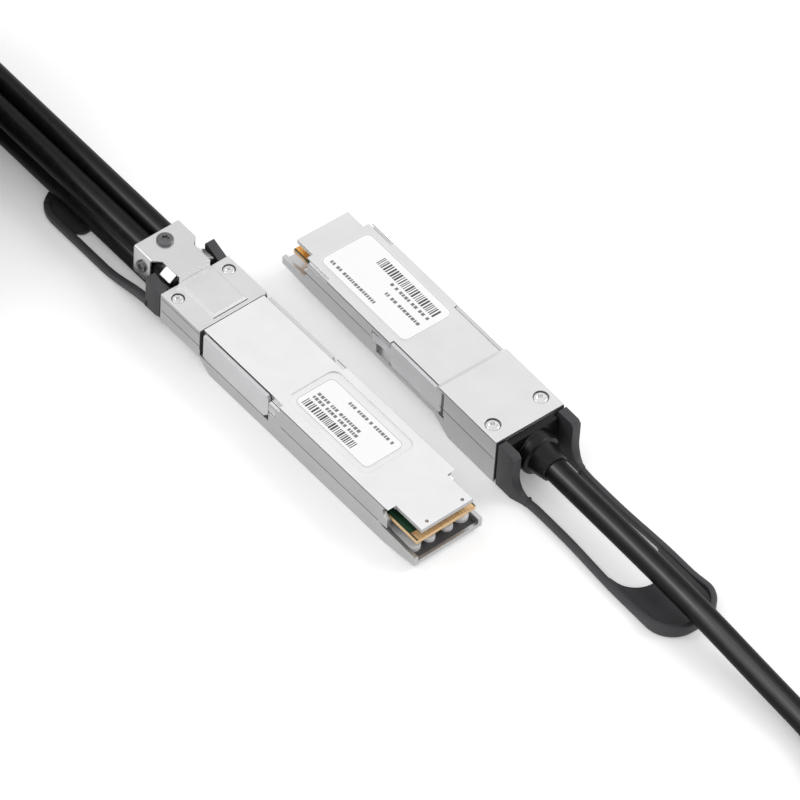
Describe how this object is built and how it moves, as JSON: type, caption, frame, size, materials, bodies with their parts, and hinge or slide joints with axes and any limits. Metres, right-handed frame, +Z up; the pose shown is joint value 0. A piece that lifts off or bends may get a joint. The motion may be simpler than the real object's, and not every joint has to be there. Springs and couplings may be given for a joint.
{
  "type": "direct attach copper cable",
  "caption": "Breakout network cable: a wide metal host plug with stacked cables under a clamp, leading to smaller metal plugs, each with a pull tab that slides a side latch.",
  "frame": {"origin": "on the underside of the host plug, on its long middle line, 45 mm ahead of its rear face", "axes": "+Z up from the surface that the plugs lie on; the host plug's nose points between +X and -Y"},
  "size_m": [0.2947, 0.2371, 0.045],
  "materials": {
    "zinc_shell": "satin nickel plate",
    "zinc_cover": "satin nickel plate",
    "slider_steel": "satin",
    "clamp_steel": "bright",
    "steel_screw": "bright",
    "dark_steel": "dark oxide",
    "board": "solder mask with gold fingers",
    "label_film": "matt film",
    "tab_plastic": "matt",
    "boot_rubber": "satin",
    "jacket": "satin"
  },
  "bodies": {
    "cable": {"host_lower_shell": "zinc_shell", "host_cover": "zinc_cover", "host_rear_cap": "zinc_cover", "host_cap_screws": "steel_screw", "host_card": "board", "host_cable_clamp": "clamp_steel", "host_clamp_screws": "dark_steel", "host_label": "label_film", "leg1_lower_shell": "zinc_shell", "leg1_cover": "zinc_cover", "leg1_screws": "steel_screw", "leg1_card": "board", "leg1_label": "label_film", "leg1_boot": "boot_rubber", "leg1_lead": "jacket", "leg1_tail": "jacket", "leg2_lower_shell": "zinc_shell", "leg2_cover": "zinc_cover", "leg2_screws": "steel_screw", "leg2_card": "board", "leg2_label": "label_film", "leg2_boot": "boot_rubber", "leg2_lead": "jacket", "leg2_tail": "jacket", "leg3_lower_shell": "zinc_shell", "leg3_cover": "zinc_cover", "leg3_screws": "steel_screw", "leg3_card": "board", "leg3_label": "label_film", "leg3_boot": "boot_rubber", "leg3_lead": "jacket", "leg3_tail": "jacket", "leg4_lower_shell": "zinc_shell", "leg4_cover": "zinc_cover", "leg4_screws": "steel_screw", "leg4_card": "board", "leg4_label": "label_film", "leg4_boot": "boot_rubber", "leg4_lead": "jacket", "leg4_tail": "jacket", "cable_coil": "jacket"},
    "host_release": {"host_slider": "slider_steel", "host_pull_tab": "tab_plastic"},
    "leg1_release": {"leg1_slider": "slider_steel", "leg1_pull_tab": "tab_plastic"},
    "leg2_release": {"leg2_slider": "slider_steel", "leg2_pull_tab": "tab_plastic"},
    "leg3_release": {"leg3_slider": "slider_steel", "leg3_pull_tab": "tab_plastic"},
    "leg4_release": {"leg4_slider": "slider_steel", "leg4_pull_tab": "tab_plastic"}
  },
  "joints": [
    {"name": "host_pull", "type": "slide", "parent": "cable", "child": "host_release", "axis": [-0.7071, 0.7071, 0], "range_m": [0, 0.001], "stiffness_N_per_m": 900},
    {"name": "leg1_pull", "type": "slide", "parent": "cable", "child": "leg1_release", "axis": [0.6909, -0.723, 0], "range_m": [0, 0.0008], "stiffness_N_per_m": 900},
    {"name": "leg2_pull", "type": "slide", "parent": "cable", "child": "leg2_release", "axis": [0, 1, 0], "range_m": [0, 0.0008], "stiffness_N_per_m": 900},
    {"name": "leg3_pull", "type": "slide", "parent": "cable", "child": "leg3_release", "axis": [0, 1, 0], "range_m": [0, 0.0008], "stiffness_N_per_m": 900},
    {"name": "leg4_pull", "type": "slide", "parent": "cable", "child": "leg4_release", "axis": [0, 1, 0], "range_m": [0, 0.0008], "stiffness_N_per_m": 900}
  ]
}
